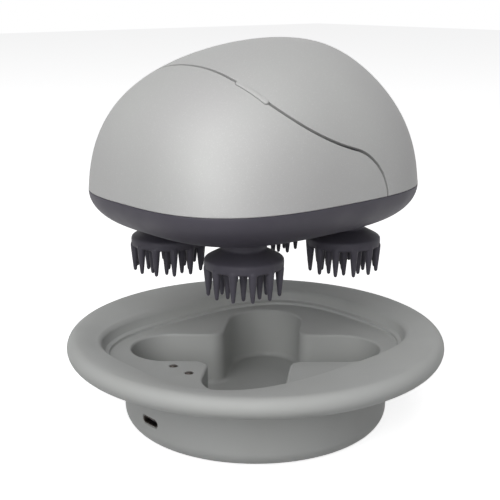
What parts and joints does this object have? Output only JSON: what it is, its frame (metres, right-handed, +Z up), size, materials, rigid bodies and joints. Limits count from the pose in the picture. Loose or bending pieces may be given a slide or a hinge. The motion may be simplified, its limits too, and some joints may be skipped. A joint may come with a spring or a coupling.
{
  "type": "electric scalp massager with charging dock",
  "caption": "Domed cordless scalp massager with spinning fingered heads, lifted above a round charging dock with a lobed recess.",
  "frame": {"origin": "centre of the dock's footprint, on the surface it stands on", "axes": "+Z up along the dock's axis; +X along the massager's length, away from the charging port"},
  "size_m": [0.1376, 0.1376, 0.1389],
  "materials": {
    "silver_shell": "satin silver-white painted shell",
    "key_silver": "satin silver-white painted key",
    "case_dark": "matte charcoal moulding",
    "silicone_dark": "matte charcoal silicone",
    "dock_grey": "matte light grey moulding",
    "gear_cream": "natural acetal",
    "steel": "bright steel",
    "bronze": "sintered bronze",
    "gold_contact": "gold-plated contact",
    "board_green": "green circuit board",
    "cell_sleeve": "shrink sleeve"
  },
  "bodies": {
    "dock": {"dock_tray": "dock_grey", "dock_bowl": "dock_grey", "dock_feet": "silicone_dark", "dock_screws": "steel", "dock_board": "board_green", "port_socket": "steel", "pin_sleeves": "bronze"},
    "pin_1": {"charge_pin_1": "gold_contact"},
    "pin_2": {"charge_pin_2": "gold_contact"},
    "massager": {"hood_panel": "silver_shell", "wrap_panel": "silver_shell", "seam_frame": "case_dark", "key_switch": "steel", "key_board": "board_green", "lower_case": "case_dark", "case_seal": "silicone_dark", "bearings": "bronze", "spindle_seals": "silicone_dark", "charge_pads": "gold_contact", "cover_plate": "gear_cream", "cover_screws": "steel", "gear_axles": "steel", "motor": "steel", "battery_cell": "cell_sleeve", "battery_cradle": "case_dark", "main_board": "board_green"},
    "key": {"power_key": "key_silver"},
    "pinion": {"motor_pinion": "bronze"},
    "reduction": {"reduction_gear": "gear_cream"},
    "centre": {"centre_gear": "gear_cream"},
    "head_1": {"spindle_1": "steel", "head_gear_1": "gear_cream", "head_core_1": "case_dark", "head_pad_1": "silicone_dark"},
    "head_2": {"spindle_2": "steel", "head_gear_2": "gear_cream", "head_core_2": "case_dark", "head_pad_2": "silicone_dark"},
    "head_3": {"spindle_3": "steel", "head_gear_3": "gear_cream", "head_core_3": "case_dark", "head_pad_3": "silicone_dark"},
    "head_4": {"spindle_4": "steel", "head_gear_4": "gear_cream", "head_core_4": "case_dark", "head_pad_4": "silicone_dark"}
  },
  "joints": [
    {"name": "lift_off", "type": "slide", "parent": "dock", "child": "massager", "axis": [0, 0, 1], "range_m": [-0.0479, 0]},
    {"name": "key_press", "type": "slide", "parent": "massager", "child": "key", "axis": [0.3423, 0.5297, -0.776], "range_m": [0, 0.0006], "stiffness_N_per_m": 2500},
    {"name": "pin_press_1", "type": "slide", "parent": "dock", "child": "pin_1", "axis": [0, 0, -1], "range_m": [0, 0.0005], "stiffness_N_per_m": 1500},
    {"name": "pin_press_2", "type": "slide", "parent": "dock", "child": "pin_2", "axis": [0, 0, -1], "range_m": [0, 0.0005], "stiffness_N_per_m": 1500},
    {"name": "centre_spin", "type": "hinge", "parent": "massager", "child": "centre", "pos_m": [0, 0, 0.08], "axis": [0, 0, 1], "continuous": true},
    {"name": "reduction_spin", "type": "hinge", "parent": "massager", "child": "reduction", "pos_m": [0.0216, 0, 0.088], "axis": [0, 0, 1], "continuous": true},
    {"name": "motor_spin", "type": "hinge", "parent": "massager", "child": "pinion", "pos_m": [0.0066, 0, 0.09], "axis": [0, 0, 1], "continuous": true},
    {"name": "head_spin_1", "type": "hinge", "parent": "massager", "child": "head_1", "pos_m": [0.0235, 0.021, 0.075], "axis": [0, 0, 1], "continuous": true},
    {"name": "head_spin_2", "type": "hinge", "parent": "massager", "child": "head_2", "pos_m": [-0.0235, 0.021, 0.075], "axis": [0, 0, 1], "continuous": true},
    {"name": "head_spin_3", "type": "hinge", "parent": "massager", "child": "head_3", "pos_m": [-0.0235, -0.021, 0.075], "axis": [0, 0, 1], "continuous": true},
    {"name": "head_spin_4", "type": "hinge", "parent": "massager", "child": "head_4", "pos_m": [0.0235, -0.021, 0.075], "axis": [0, 0, 1], "continuous": true}
  ],
  "couplings": [
    {"joint": "reduction_spin", "follows": "centre_spin", "ratio": -5},
    {"joint": "motor_spin", "follows": "centre_spin", "ratio": 20},
    {"joint": "head_spin_1", "follows": "centre_spin", "ratio": -1},
    {"joint": "head_spin_2", "follows": "centre_spin", "ratio": -1},
    {"joint": "head_spin_3", "follows": "centre_spin", "ratio": -1},
    {"joint": "head_spin_4", "follows": "centre_spin", "ratio": -1}
  ]
}
